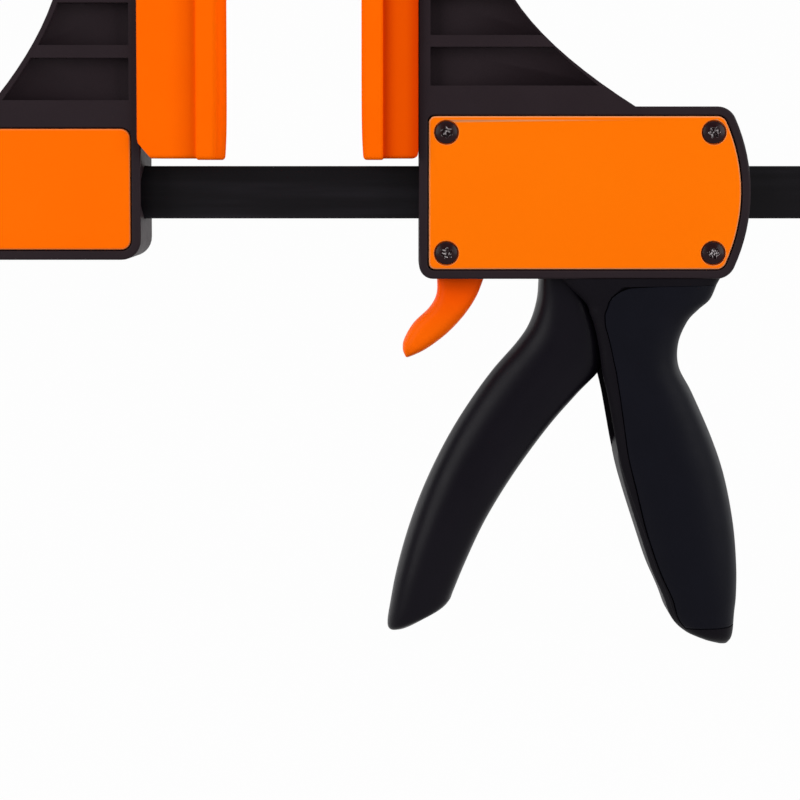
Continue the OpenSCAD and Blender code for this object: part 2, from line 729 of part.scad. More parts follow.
module drive_plates() {
    color(steel) on_carriage() for (k = [0:drive_plate_n - 1]) difference() {
        translate([plate_u + k * drive_plate_t, 0, 0]) rotate([90, 0, 90])
            linear_extrude(drive_plate_t - fit_gap)
                polygon(rounded_box(-steel_w / 2, plate_bottom, steel_w / 2, plate_top, 2));
        bar_window(0, far, window_gap);
    }
}

// Brake plate, drawn upright about its pivot and then tilted into the locked position
module tilted() {
    translate([brake_pivot_u, 0, brake_pivot_z]) rotate([0, brake_tilt, 0]) children();
}

module brake_plate() {
    color(steel) on_carriage() tilted() difference() {
        union() {
            pin(brake_t, steel_w - 2);
            translate([-brake_t / 2, 1 - steel_w / 2, clasp_over + 0.5 - brake_len])
                cube([brake_t, steel_w - 2, brake_len - clasp_over - 0.5]);
            translate([-brake_t / 2, -tongue_w / 2, -brake_len]) cube([brake_t, tongue_w, brake_len]);
        }
        translate([-5, -bar_t / 2 - window_gap, -brake_pivot_z - brake_window / 2])
            cube([10, bar_t + 2 * window_gap, brake_window]);
    }
}

// Trigger with the clasp that holds the brake plate's lower end
tongue_w = 9;
clasp_t = brake_t + 5;
clasp_in = 0.6;
clasp_over = 8.5;
clasp_under = 5;
module release_trigger() {
    color(orange) on_carriage() {
        tilted() difference() {
            translate([-clasp_t / 2, clasp_in - trigger_half, -brake_len - clasp_under])
                cube([clasp_t, 2 * (trigger_half - clasp_in), clasp_over + clasp_under]);
            translate([-brake_t / 2 - fit_gap, -tongue_w / 2 - fit_gap, -brake_len - fit_gap])
                cube([brake_t + 2 * fit_gap, tongue_w + 2 * fit_gap, brake_len]);
        }
        loft(rings_of(trigger_stations, 8, steps(0, len(trigger_stations) - 1, 14)));
    }
}

// Round wire wound about the bar from x0 to x1
module coil(x0, x1, mean_r, wire, turns) {
    per_turn = 20;
    side = 6;
    n = turns * per_turn;
    lead = (x1 - x0 - wire) / n;
    loft([for (i = [0:n]) let (a = 360 * i / per_turn, x = x0 + wire / 2 + lead * i)
        [for (j = [0:side - 1]) let (b = -360 * j / side, r = mean_r + wire / 2 * cos(b))
            [x + wire / 2 * sin(b), r * cos(a), r * sin(a)]]]);
}

module drive_spring() {
    color(steel) on_carriage() coil(plate_u + plate_stack + running_gap, drive_u1 - running_gap,
        norm([bar_h, bar_t]) / 2 + running_gap + drive_wire / 2, drive_wire, drive_turns);
}

module brake_spring() {
    color(steel) on_carriage() coil(brake_pivot_u + 1.2, brake_u1 - running_gap,
        norm([bar_h, bar_t]) / 2 + running_gap + brake_wire / 2, brake_wire, brake_turns);
}

bar();
bar_stop_pin();
fixed_jaw_body();
fixed_jaw_front_plate();
fixed_jaw_back_plate();
fixed_jaw_pad();
fixed_jaw_rivets();
carriage_body();
front_cover_plate();
back_cover_plate();
front_cover_screws();
back_cover_screws();
movable_jaw_pad();
pistol_handle();
handle_grip();
lever_pivot_pin();
squeeze_lever();
drive_cam_pin();
drive_plates();
drive_spring();
brake_plate();
release_trigger();
brake_spring();
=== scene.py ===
# %% [markdown]
# # A one-handed bar clamp
#
# The clamp has a fixed jaw on the end of a flat steel bar and a carriage that slides along it.
# A lever under the carriage walks it forward, and a small trigger lets it go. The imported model
# gives every part its real size and place. This file gives them their skin: round edges, soft
# pads, moulded grips, screws, and the finish of each material.
#
# Each step has a cell of explanation, like this one, and then short cells of code.

import math

import bpy
import bmesh
import numpy as np
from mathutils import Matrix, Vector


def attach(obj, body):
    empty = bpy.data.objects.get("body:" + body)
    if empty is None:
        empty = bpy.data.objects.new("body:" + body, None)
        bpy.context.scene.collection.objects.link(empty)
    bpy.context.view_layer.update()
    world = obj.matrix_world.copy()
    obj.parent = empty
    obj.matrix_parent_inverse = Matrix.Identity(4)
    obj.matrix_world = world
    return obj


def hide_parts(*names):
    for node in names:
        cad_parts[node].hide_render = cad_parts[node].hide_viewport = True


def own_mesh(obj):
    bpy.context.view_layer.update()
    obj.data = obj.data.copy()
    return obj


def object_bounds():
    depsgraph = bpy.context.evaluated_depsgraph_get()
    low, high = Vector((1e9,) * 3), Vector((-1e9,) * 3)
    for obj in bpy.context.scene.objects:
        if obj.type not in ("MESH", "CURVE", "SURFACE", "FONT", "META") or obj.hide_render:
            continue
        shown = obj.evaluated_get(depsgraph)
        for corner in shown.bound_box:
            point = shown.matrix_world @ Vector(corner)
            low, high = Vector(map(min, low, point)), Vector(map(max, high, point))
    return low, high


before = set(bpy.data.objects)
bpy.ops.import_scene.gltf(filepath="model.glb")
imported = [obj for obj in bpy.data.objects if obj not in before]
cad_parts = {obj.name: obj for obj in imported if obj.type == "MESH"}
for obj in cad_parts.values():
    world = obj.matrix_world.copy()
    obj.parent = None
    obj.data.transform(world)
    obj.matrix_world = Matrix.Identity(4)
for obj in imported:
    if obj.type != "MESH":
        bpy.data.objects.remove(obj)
cad_low, cad_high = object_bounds()


def box_size(low, high):
    """Length, depth and height of a box in millimetres, from its corners in metres."""
    return [round(1000 * (b - a), 1) for a, b in zip(low, high)]


print("CAD box in mm:", box_size(cad_low, cad_high))

# %% [markdown]
# ## Places
#
# A clamp is easiest to draw in three sets of measures. Along the bar, everything on the carriage
# is measured from the carriage's front face. Upwards, the bar's centre line is zero. And what
# hangs under the carriage, the lever, handle and trigger, is measured by how far it drops below
# the housing. All three are millimetres, and two functions turn them into the model's metres,
# whose origin is the middle of the fixed jaw's clamping face.

# %% Millimetres to places
MM = 0.001
pad_middle = 55.1         # how far the clamping faces' middle lies above the bar's
carriage_front = 71.4     # where the housing's front face lies along the bar
housing_half = 30.7       # half the housing's height


def place(x, y, z):
    """Metres in the model's frame, from millimetres along the bar, across it, and above it."""
    return np.stack(np.broadcast_arrays(x, y, z - pad_middle), axis=-1) * MM


def under_housing(u, y, drop):
    """Metres, from millimetres behind the housing's front, across it, and below its underside."""
    return place(u + carriage_front, y, -housing_half - drop)


print("front edge of the housing's underside, in metres:", under_housing(0, 0, 0).round(4))

# %% [markdown]
# ## Surfaces from numbers
#
# The curved parts are surfaces worked out as arrays: a grid of points, rows along the part and
# columns round it. Such a grid becomes a mesh by joining each point to its neighbours. The last
# column joins the first where the surface runs round, and the two end rows are closed with one
# point in the middle, so the part is a solid. Whether the faces look outwards is not left to
# luck: the volume that the faces enclose is computed, and if it is negative they are all turned.

# %% From points and faces to a piece
crease = 35               # folds of more degrees than this are drawn as edges


def linked(name, data):
    """A new object in the scene."""
    made = bpy.data.objects.new(name, data)
    bpy.context.scene.collection.objects.link(made)
    return made


def outward(points, faces):
    """Faces turned outwards: each face is split into triangles, and a triangle with corners a, b
    and c adds a . (b x c) / 6 to the volume, which is negative where they look inwards."""
    fan = np.concatenate([faces[:, [0, k, k + 1]] for k in range(1, faces.shape[1] - 1)])
    a, b, c = (points[fan[:, k]] for k in range(3))
    volume = np.einsum("ij,ij->i", a, np.cross(b, c)).sum() / 6
    return faces if volume > 0 else faces[:, ::-1]


def seated(made, body, slot, node, look):
    """Hooks a piece to its body, its material slot and the CAD node that it stands for. Its
    finish is the slot's own, or the one that look names."""
    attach(made, body)
    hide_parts(node)
    made.data.materials.clear()
    made.data.materials.append(finishes[look or slot])
    print(f"{made.name}: {len(made.data.polygons)} faces on {body}")
    return made


def piece(name, points, faces, body, slot, node, look=None):
    """A finished object from points and faces, in the place of a CAD node."""
    mesh = bpy.data.meshes.new(name)
    mesh.from_pydata(points.tolist(), [], faces if isinstance(faces, list) else faces.tolist())
    mesh.update()
    mesh.shade_smooth()
    mesh.set_sharp_from_angle(angle=math.radians(crease))
    return seated(linked(name, mesh), body, slot, node, look)


# %% Faces between the points of a grid
def tube_faces(rows, columns):
    """Quads between the points of a grid whose last column joins its first, as corner numbers."""
    r, c = np.meshgrid(np.arange(rows - 1), np.arange(columns), indexing="ij")
    d = (c + 1) % columns
    return np.stack([r * columns + c, r * columns + d, (r + 1) * columns + d,
                     (r + 1) * columns + c], -1).reshape(-1, 4)


def solid_round(grid):
    """Points and triangles of a solid from a grid of rings, closed by a point amid each end."""
    rows, columns = grid.shape[:2]
    points = np.concatenate([grid.reshape(-1, 3), grid[0].mean(0)[None], grid[-1].mean(0)[None]])
    quads = tube_faces(rows, columns)
    c = np.arange(columns)
    d = (c + 1) % columns
    last_row, first_amid, last_amid = (rows - 1) * columns, rows * columns, rows * columns + 1
    ends = np.concatenate([
        np.stack([d, c, np.full(columns, first_amid)], -1),
        np.stack([last_row + c, last_row + d, np.full(columns, last_amid)], -1)])
    faces = np.concatenate([quads[:, [0, 1, 2]], quads[:, [0, 2, 3]], ends])
    return points, outward(points, faces)


# %% [markdown]
# ## Finishes
#
# A material is a small tree of nodes. Written out one by one the nodes hide the idea, so a
# socket is wrapped in a class that can be added and multiplied like a number, and the tree
# follows from the formula. Only what varies over the surface goes through nodes. A number that
# is the same all over is set on the shader itself.

# %% Sums on sockets
class Wire:
    """A value in a material's node tree, which sums and products can be written with."""

    def __init__(self, tree, socket=None):
        self.tree, self.socket = tree, socket

    def node(self, kind, settings=None, sockets=None, out=0):
        """Any node: its type, its settings, which are set first, and the values or links of its
        sockets. The new wire comes from the output numbered out."""
        made = self.tree.nodes.new(kind)
        for key, value in (settings or {}).items():
            setattr(made, key, value)
        for key, value in (sockets or {}).items():
            if isinstance(value, Wire):
                self.tree.links.new(value.socket, made.inputs[key])
            else:
                made.inputs[key].default_value = value
        return Wire(self.tree, made.outputs[out])

    def sum_of(self, operation, *values):
        """A Math node that works out the operation on these values."""
        return self.node("ShaderNodeMath", {"operation": operation}, dict(enumerate(values)))

    def __add__(self, other): return self.sum_of("ADD", self, other)
    def __radd__(self, other): return self.sum_of("ADD", other, self)
    def __sub__(self, other): return self.sum_of("SUBTRACT", self, other)
    def __rsub__(self, other): return self.sum_of("SUBTRACT", other, self)
    def __mul__(self, other): return self.sum_of("MULTIPLY", self, other)
    def __rmul__(self, other): return self.sum_of("MULTIPLY", other, self)

    def step(self, low, high):
        """0 below low and 1 above high, with a smooth rise between them."""
        return self.node("ShaderNodeMapRange", {"interpolation_type": "SMOOTHSTEP"},
                         {"Value": self, "From Min": low, "From Max": high})

    def blend(self, first, second):
        """One colour where this value is 0, and another where it is 1."""
        colours = {6: first, 7: second}
        colours = {k: v if isinstance(v, Wire) else (*v, 1) for k, v in colours.items()}
        return self.node("ShaderNodeMix", {"data_type": "RGBA"}, {0: self, **colours}, out=2)


# %% Patterns that the finishes share
def spread(wire, stretch=(1, 1, 1)):
    """Where a point lies on the object, in metres, squeezed or stretched along the axes."""
    here = wire.node("ShaderNodeTexCoord", out=3)
    return wire.node("ShaderNodeMapping", {"vector_type": "POINT"},
                     {"Vector": here, "Scale": stretch})


def cloud(wire, size, detail=3, stretch=(1, 1, 1)):
    """Soft random mottle between 0 and 1, with blotches of about that many millimetres."""
    return wire.node("ShaderNodeTexNoise", None,
                     {"Vector": spread(wire, stretch), "Scale": 1000 / size, "Detail": detail})


def grain(wire, size):
    """Leathery cells as moulds have from spark erosion: the distance to the nearest of many
    dots, which lie about size millimetres apart."""
    return wire.node("ShaderNodeTexVoronoi", {"feature": "SMOOTH_F1"},
                     {"Vector": spread(wire), "Scale": 1000 / size, "Smoothness": 0.6})


def bump(wire, height, depth):
    """Bent normals from a height between 0 and 1, of that many millimetres."""
    return wire.node("ShaderNodeBump", None,
                     {"Height": height, "Strength": 1.0, "Distance": depth * MM})


# %% Colours, roughnesses and skins that wander
def mottled(size, dark, bright, detail=3):
    """A colour that wanders from dark to bright in blotches of size millimetres."""
    return lambda w: cloud(w, size, detail).blend(dark, bright)


def uneven(least, more, size, detail):
    """A roughness that wanders from least upwards, by at most more."""
    return lambda w: least + more * cloud(w, size, detail)


def moulded(cells, dust, share, depth):
    """The skin of a mould: cells, with a share of finer dust over them. The sizes of both, and
    the depth of the whole, are millimetres."""
    return lambda w: bump(w, grain(w, cells) + share * cloud(w, dust), depth)


def rippled(w):
    """The faint ripple of thin moulded sheet, with a quarter of fine dust over it."""
    return bump(w, cloud(w, 1.4, 2) + 0.25 * cloud(w, 0.3, 2), 0.006)


# %% A material from its wires
def finish(name, colour, rough, normal, metal=0.0, **constants):
    """A material from what makes its colour, roughness and normal, and from plain numbers for
    the shader's other sockets. What is metal only in places has a function for metal too."""
    material = bpy.data.materials.new(name)
    material.use_nodes = True
    shader = material.node_tree.nodes["Principled BSDF"]
    wire = Wire(material.node_tree)
    varied = {"Base Color": colour(wire), "Roughness": rough(wire), "Normal": normal(wire)}
    if callable(metal):
        varied["Metallic"] = metal(wire)
    else:
        shader.inputs["Metallic"].default_value = metal
    for key, value in varied.items():
        wire.tree.links.new(value.socket, shader.inputs[key])
    for key, value in constants.items():
        shader.inputs[key.replace("_", " ")].default_value = value
    return material


finishes = {}

# %% [markdown]
# ### Moulded plastic
#
# The jaws and the housing are glass-filled nylon. Its mould is spark eroded, which leaves a fine
# matt grain, and the fibres make the black a little uneven. The lever is the same plastic from a
# smoother mould, and the handle's core is a shade darker. The side plates are smoother and
# orange, with the faint ripple of thin moulded sheet, and a paler orange along their round rims
# is a painted highlight.

# %% Black nylon and the black grip
finishes["black_nylon"] = finish(
    "moulded black nylon",
    mottled(18, (0.0185, 0.0122, 0.0150), (0.0240, 0.0162, 0.0195)),
    uneven(0.40, 0.14, 3.0, 4),
    moulded(0.55, 0.3, 0.5, 0.020),
    Specular_IOR_Level=0.06)

finishes["lever_nylon"] = finish(
    "satin black lever nylon",
    mottled(22, (0.0032, 0.0025, 0.0048), (0.0060, 0.0047, 0.0080)),
    uneven(0.32, 0.10, 5.0, 3),
    moulded(0.7, 0.4, 0.6, 0.010),
    Specular_IOR_Level=0.08)

finishes["core_nylon"] = finish(
    "dark core nylon",
    mottled(18, (0.0045, 0.0038, 0.0056), (0.0074, 0.0062, 0.0088)),
    uneven(0.40, 0.12, 4.0, 4),
    moulded(0.55, 0.3, 0.5, 0.018),
    Specular_IOR_Level=0.04)

finishes["soft_grip"] = finish(
    "soft black grip",
    mottled(15, (0.0026, 0.0027, 0.0054), (0.0044, 0.0044, 0.0084)),
    uneven(0.46, 0.12, 4.0, 4),
    moulded(0.45, 0.25, 0.5, 0.016),
    Specular_IOR_Level=0.07)


# %% Orange plates
def painted_edge_highlight(wire):
    """1 where a surface turns away from the flat front and back, so on the plates' round edges,
    which get a painted highlight there. It is read from how far the normal points across the bar."""
    across = wire.node("ShaderNodeSeparateXYZ", None,
                       {0: wire.node("ShaderNodeTexCoord", out=1)}, out=1)
    return 1 - wire.sum_of("ABSOLUTE", across).step(0.84, 0.995)


def plate_orange(size, dark, bright, rim, share):
    """A mottled orange that goes over to the colour rim, a painted highlight, by a share, on the
    round edges.
    """
    return lambda w: (painted_edge_highlight(w) * share).blend(mottled(size, dark, bright, 2)(w), rim)


# The third colour of each plate is a painted highlight on its round edges.
finishes["orange_plate"] = finish(
    "smooth orange plate",
    plate_orange(60, (1.0, 0.168, 0.0005), (1.0, 0.194, 0.0014), (1.0, 0.38, 0.15), 0.9),
    uneven(0.33, 0.08, 9.0, 3),
    rippled,
    Specular_IOR_Level=0.03)

finishes["jaw_orange"] = finish(
    "deep orange jaw plate",
    plate_orange(40, (1.0, 0.146, 0.0002), (1.0, 0.160, 0.0007), (1.0, 0.30, 0.09), 0.6),
    uneven(0.33, 0.08, 9.0, 3),
    rippled,
    Specular_IOR_Level=0.025)


# %% Orange nylon of the trigger
def trigger_orange_shaded_top(w):
    """A mottled orange that gets deeper from 108 mm under the origin up to the housing, at 86:
    painted shade under the housing.
    """
    height = w.node("ShaderNodeSeparateXYZ", None, {0: spread(w)}, out=2)
    # Painted shade: the orange deepens under the housing.
    return height.step(-0.108, -0.086).blend(
        mottled(12, (1.0, 0.124, 0.0004), (1.0, 0.144, 0.0010), 2)(w), (1.0, 0.088, 0.0002))


finishes["orange_nylon"] = finish(
    "moulded orange nylon",
    trigger_orange_shaded_top,
    uneven(0.36, 0.08, 5.0, 3),
    moulded(0.5, 0.3, 0.5, 0.008),
    Specular_IOR_Level=0.03)

# %% [markdown]
# ### Soft pads
#
# The pads are soft plastic, so that they don't mark the work. Their skin is matter than the
# plates'. The neck is darker beside the flange and the jaw, as painted shade from them. A painted
# picture could hold that shade, but a function of the place along the bar needs none.

# %% Soft orange plastic
def neck_painted_shade(wire):
    """From 0 on a flange to 1 deep beside the flange or the jaw, where the neck gets painted shade.
    All places are metres along the bar: the fixed pad's neck ends at its flange's back, 7.4 mm
    before the origin, and the movable pad's runs from 58.5 mm to the jaw, at about 71 mm."""
    along = wire.node("ShaderNodeSeparateXYZ", None, {0: spread(wire)})
    fixed = along.step(-0.0190, -0.0078) * (1 - along.step(-0.00745, -0.00735))
    shade_by_flange_and_jaw = 1 - 0.4 * along.step(0.0585, 0.0640) + 0.4 * along.step(0.0660, 0.0712)
    return 0.32 * fixed + shade_by_flange_and_jaw * along.step(0.0584, 0.0587)


# The dark red on the pads' necks, beside the flanges and the jaws, is painted shade.
finishes["soft_pad"] = finish(
    "soft orange pad",
    lambda w: neck_painted_shade(w).blend(
        mottled(25, (1.0, 0.126, 0.0004), (1.0, 0.146, 0.0012))(w), (0.66, 0.046, 0.0003)),
    uneven(0.46, 0.10, 4.0, 4),
    moulded(0.4, 0.22, 0.6, 0.012),
    Specular_IOR_Level=0.0)

# %% [markdown]
# ### Steel
#
# The bar is rolled flat stock with a black finish. Rolling leaves long faint streaks along it,
# and sliding the jaw adds hair-fine scratches the same way, so its patterns are stretched along
# X. Screws are black too. Pins, plates and springs inside stay bare: ground, hardened and drawn.

# %% Bar
streaks, scratches = (0.05, 1, 1), (0.02, 1, 1)     # a pattern 20 and 50 times as long along X

finishes["bar_steel"] = finish(
    "black satin bar",
    lambda w: cloud(w, 5.0, 4, streaks).step(0.36, 0.64).blend(
        (0.0036, 0.0028, 0.0040), (0.0092, 0.0080, 0.0106)),
    lambda w: 0.33 + 0.16 * cloud(w, 1.2, 4, scratches),
    lambda w: bump(w, cloud(w, 0.5, 3, scratches) + 0.3 * cloud(w, 1.5, 2), 0.006),
    Specular_IOR_Level=0.12)


# %% Screws
def recess(wire):
    """1 in the recess of a screw and 0 elsewhere, kept with the mesh."""
    return wire.node("ShaderNodeAttribute", {"attribute_name": "recess"}, out=2)


finishes["black_screw"] = finish(
    "black oxide screw",
    # Painted shade: the head's dark red stands in for the shaded orange wall of the sink round it.
    lambda w: recess(w).blend(
        cloud(w, 2.0).blend((0.0110, 0.0024, 0.0036), (0.0190, 0.0048, 0.0066)),
        # Painted highlights: bright metal specks in the recess give its glints, though they mirror
        # real light.
        cloud(w, 0.7, 2).step(0.50, 0.66).blend((0.022, 0.012, 0.014), (0.66, 0.60, 0.61))),
    uneven(0.22, 0.14, 1.0, 3),
    lambda w: bump(w, cloud(w, 0.3, 3) + recess(w) * cloud(w, 0.7, 1), 0.012),
    metal=recess, Specular_IOR_Level=0.13)


# %% Bare steel
def bare_steel(name, dark, bright, rough, stretch):
    """Bare steel with the marks of how it was made, which stretch draws out along one way."""
    return finish(
        name,
        lambda w: cloud(w, 1.5, 4, stretch).blend((dark,) * 3, (bright, bright, bright * 1.02)),
        lambda w: rough + 0.16 * cloud(w, 0.6, 3, stretch),
        lambda w: bump(w, cloud(w, 0.35, 3, stretch), 0.004), metal=1.0)


finishes["pin_steel"] = bare_steel("ground steel pin", 0.42, 0.58, 0.22, (1, 0.08, 1))
finishes["plate_steel"] = bare_steel("hardened steel plate", 0.30, 0.44, 0.34, (1, 1, 0.08))
finishes["spring_steel"] = bare_steel("drawn spring wire", 0.38, 0.54, 0.28, (1, 1, 1))
print("finishes:", ", ".join(finishes))

# %% [markdown]
# ## Parts kept from the model
#
# The jaw bodies, the side plates, the bar and the pins already have the right shape, but their
# edges are knife sharp, and no moulded or ground edge is. A copy of each has its loose triangles
# merged into whole faces, and a Bevel modifier rounds the edges. The light then draws a thin line
# along them, which is much of what makes plastic look like plastic.

# %% Which edges are rounded, and how far
flank = 14.5              # faces further than this from the middle plane are the outer sides
shallow = 11              # and a wall whose middle is further out than this is a recess's
sideways = 0.99           # a face looks sideways if its normal goes this far across
# The cover screws: how far each lies behind the housing's front, and above the bar's middle.
screw_places = [(u, z) for u in (9.7, 104.8) for z in (-21.5, 21.5)]
hole_reach = 5.5          # edges this near to a screw's axis belong to its hole
hole_share, rib_share, recess_share = 1 / 6, 0.3, 0.5


def read(things, key, width=1, kind=float):
    """One value, or a row of width values, of each of a mesh's things, as an array."""
    values = np.zeros(width * len(things), kind)
    things.foreach_get(key, values)
    return values.reshape(-1, width) if width > 1 else values


def edge_weights(mesh, beyond, inner):
    """How much of the bevel's width each sharp edge gets. It needs a face that looks sideways and
    lies more than beyond millimetres from the middle plane. Where the wall on the edge's other
    side is the shallow wall of a recess, it gets the share inner, at a screw hole a sixth, and on
    the thin ribs of the jaws' arms three tenths."""
    sharp = read(mesh.attributes["sharp_edge"].data, "value", 1, bool)
    middle = read(mesh.vertices, "co", 3)[read(mesh.edges, "vertices", 2, int)].mean(1) / MM
    loop_edge = read(mesh.loops, "edge_index", 1, int)
    loop_face = np.repeat(np.arange(len(mesh.polygons)), read(mesh.polygons, "loop_total", 1, int))
    side, depth = np.zeros(len(sharp)), np.full(len(sharp), np.inf)
    np.maximum.at(side, loop_edge, np.abs(read(mesh.polygons, "normal", 3)[loop_face, 1]))
    np.minimum.at(depth, loop_edge, np.abs(read(mesh.polygons, "center", 3)[loop_face, 1]) / MM)
    holes = np.array([(u + carriage_front, z - pad_middle) for u, z in screw_places])
    away = np.hypot(middle[:, :1] - holes[:, 0], middle[:, 2:] - holes[:, 1]).min(1)
    chosen = sharp & (side > sideways) & (np.abs(middle[:, 1]) > beyond)
    over_housing = middle[:, 2] > housing_half - pad_middle
    share = np.where((away < hole_reach) & (beyond > 0), hole_share,
                     np.where(depth > shallow, inner, 1.0))
    return chosen * np.where(over_housing & (beyond > 0), rib_share, 1.0) * share


# %% Copies with round edges
def softened(node, body, slot, width, steps=3, angle=32, beyond=0, inner=1.0, look=None):
    """A copy of a CAD node with its corners merged, flat faces made whole, and its edges rounded
    over width millimetres. Folds of more degrees than angle count as edges."""
    same_place, flat_within = 2e-6, math.radians(0.6)
    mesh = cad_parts[node].data.copy()
    work = bmesh.new()
    work.from_mesh(mesh)
    bmesh.ops.remove_doubles(work, verts=work.verts, dist=same_place)
    bmesh.ops.dissolve_limit(work, angle_limit=flat_within, verts=work.verts, edges=work.edges)
    work.to_mesh(mesh)
    work.free()
    mesh.shade_smooth()
    mesh.set_sharp_from_angle(angle=math.radians(angle))
    copy = linked(f"{node}_skin", mesh)
    if width:
        mesh.attributes.new("bevel_weight_edge", "FLOAT", "EDGE").data.foreach_set(
            "value", edge_weights(mesh, beyond, inner))
        edge = copy.modifiers.new("round edges", "BEVEL")
        edge.width, edge.segments, edge.limit_method = width * MM, steps, "WEIGHT"
        edge.harden_normals, edge.use_clamp_overlap = True, beyond == 0
    return seated(copy, body, slot, node, look)


moulding = {"width": 1.0, "steps": 4, "beyond": flank, "inner": recess_share}
side_plate = {"slot": "orange_plate", "width": 0.8, "beyond": flank}
softened("bar", "root", "bar_steel", 0)
softened("bar_stop_pin", "root", "pin_steel", 0.35)
softened("fixed_jaw_rivets", "root", "pin_steel", 0.3)
softened("fixed_jaw_body", "root", "black_nylon", **moulding)
softened("fixed_jaw_front_plate", "root", **side_plate, look="jaw_orange")
softened("fixed_jaw_back_plate", "root", **side_plate, look="jaw_orange")
softened("carriage_body", "carriage", "black_nylon", **moulding)
softened("front_cover_plate", "carriage", **side_plate)
softened("back_cover_plate", "carriage", **side_plate)
softened("lever_pivot_pin", "carriage", "pin_steel", 0.3)
softened("drive_cam_pin", "lever", "pin_steel", 0.3)
softened("drive_plates", "drive", "plate_steel", 0)
softened("brake_plate", "brake", "plate_steel", 0.25)


# %% Springs round the bar
def spring(node):
    """A copy of a coil round the bar, with a mesh of its own."""
    coil = softened(node, "carriage", "spring_steel", 0, angle=60)
    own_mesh(coil)


spring("drive_spring")
spring("brake_spring")

# %% [markdown]
# ## Stations and sections
#
# The lever, the handle and the trigger are lofts. A table gives cross sections from top to
# bottom, each by where its front and back edges lie, how wide it is, and how square its front and
# back are. Between the rows a smooth curve runs through the numbers. Each section is a
# super-ellipse: a circle whose sine and cosine are raised to a power, which swells it towards a
# rectangle.

# %% The curve through a table, and the section
def through(rows, t):
    """Catmull-Rom curve: at t = 2.3 it is 0.3 of the way from row 2 to row 3, on the cubic that
    passes both rows with the slope of the line between their outer neighbours."""
    last = len(rows) - 1
    i = np.minimum(np.floor(t).astype(int), last - 1)
    f = (t - i)[..., None]
    p0, p1, p2, p3 = (rows[np.clip(i + k, 0, last)] for k in (-1, 0, 1, 2))
    return 0.5 * (2 * p1 + (p2 - p0) * f + (2 * p0 - 5 * p1 + 4 * p2 - p3) * f ** 2
                  + (3 * p1 - p0 - 3 * p2 + p3) * f ** 3)


def section(s, angle, inset=0.0):
    """Points at an angle on the super-ellipse of station s, in metres. From the middle, a point
    lies cos(angle)^(2/n) of the way to the front and sin(angle)^(2/n) of the half width across,
    with n the squareness of the half that it is on, and inset drawn in all round."""
    front_u, front_d, back_u, back_d, half, power_front, power_back = np.moveaxis(s, -1, 0)
    reach_u, reach_d = (back_u - front_u) / 2, (back_d - front_d) / 2
    power = 2 / np.where(np.cos(angle) > 0, power_front, power_back)
    swell = lambda v: np.sign(v) * np.abs(v) ** power
    along = -swell(np.cos(angle)) * (1 - inset / np.hypot(reach_u, reach_d))
    return under_housing((front_u + back_u) / 2 + reach_u * along,
                         (half - inset) * swell(np.sin(angle)),
                         (front_d + back_d) / 2 + reach_d * along)


# %% A closed loft
def even_turn(count):
    """Angles round a section, crowded where a super-ellipse would otherwise leave long gaps: the
    angle whose tangent is the plain angle's tangent to the power of half the squareness."""
    typical_squareness = 3.0
    plain = np.linspace(0, 2 * np.pi, count, endpoint=False)
    c, s = np.cos(plain), np.sin(plain)
    p = typical_squareness / 2
    return np.arctan2(np.sign(s) * np.abs(s) ** p, np.sign(c) * np.abs(c) ** p) % (2 * np.pi)


def domed(grid, height):
    """The grid with a low dome on its last ring, of that many millimetres: the ring shrinks with
    the cosine and moves out with the sine of an angle that grows to a quarter turn."""
    rings = 5
    ring, centre = grid[-1], grid[-1].mean(0)
    out = centre - grid[-4].mean(0)
    out /= np.linalg.norm(out)
    turn = np.linspace(0, np.pi / 2, rings + 1)[1:-1, None, None]
    return np.concatenate([grid, centre + (ring - centre) * np.cos(turn)
                           + out * height * MM * np.sin(turn)])


def lofted(rows, rings, columns, dome):
    """A closed loft through a table, with a low dome on its lower end."""
    t = np.linspace(0, len(rows) - 1, rings)
    grid = section(through(rows, t)[:, None, :], even_turn(columns)[None, :])
    return solid_round(domed(grid, dome))


# %% [markdown]
# ## The squeeze lever
#
# The lever is one long moulding: a narrow neck in the housing, a shoulder that nests in the
# handle, and a blade that sweeps forward to a round toe. Its front edge is rounder than its back,
# because the fingers pull there.

# %% Lever table
lever_rows = np.array([
    # front u, drop, back u, drop, half width, squareness of front, of back
    [44.6, -6.5, 55.2, -6.5, 10.5, 5, 5],
    [43.9, 0, 55.4, 0, 10.5, 3.2, 5],
    [43.1, 8.5, 60.6, 8, 10.5, 2.5, 4.5],
    [40.4, 17, 65, 17, 10.5, 2.2, 4],
    [35.9, 23.9, 67, 26, 10.5, 2.1, 3.6],
    [26.9, 34.3, 66.3, 33, 10.5, 2.1, 3.4],
    [18.7, 45.7, 57.6, 42.5, 10.5, 2.15, 3.4],
    [11.3, 57.7, 48.6, 52.8, 10.7, 2.3, 3.2],
    [4.7, 70.7, 39.6, 64.7, 11.3, 2.5, 3],
    [-0.6, 83.3, 31.3, 76.9, 12, 2.5, 3],
    [-5, 96.4, 23.9, 89.5, 12.3, 2.5, 3],
    [-8.4, 109.4, 17.6, 103, 12.1, 2.5, 3],
    [-10.4, 120, 12.9, 114.4, 11.5, 2.5, 3],
    [-11.4, 126.6, 11.7, 117.5, 10.7, 2.5, 3],
    [-10.7, 129.2, 9.7, 120, 9.3, 2.4, 2.8],
    [-8, 129.6, 6.5, 122, 6.5, 2.2, 2.6]])

# %% Fork of the lever, inside the housing
pivot_z = 20                            # how far the pivot pin lies above the bar's middle
pivot_u, pivot_drop = 53.6, -50.7       # and the same pin in the table's measures


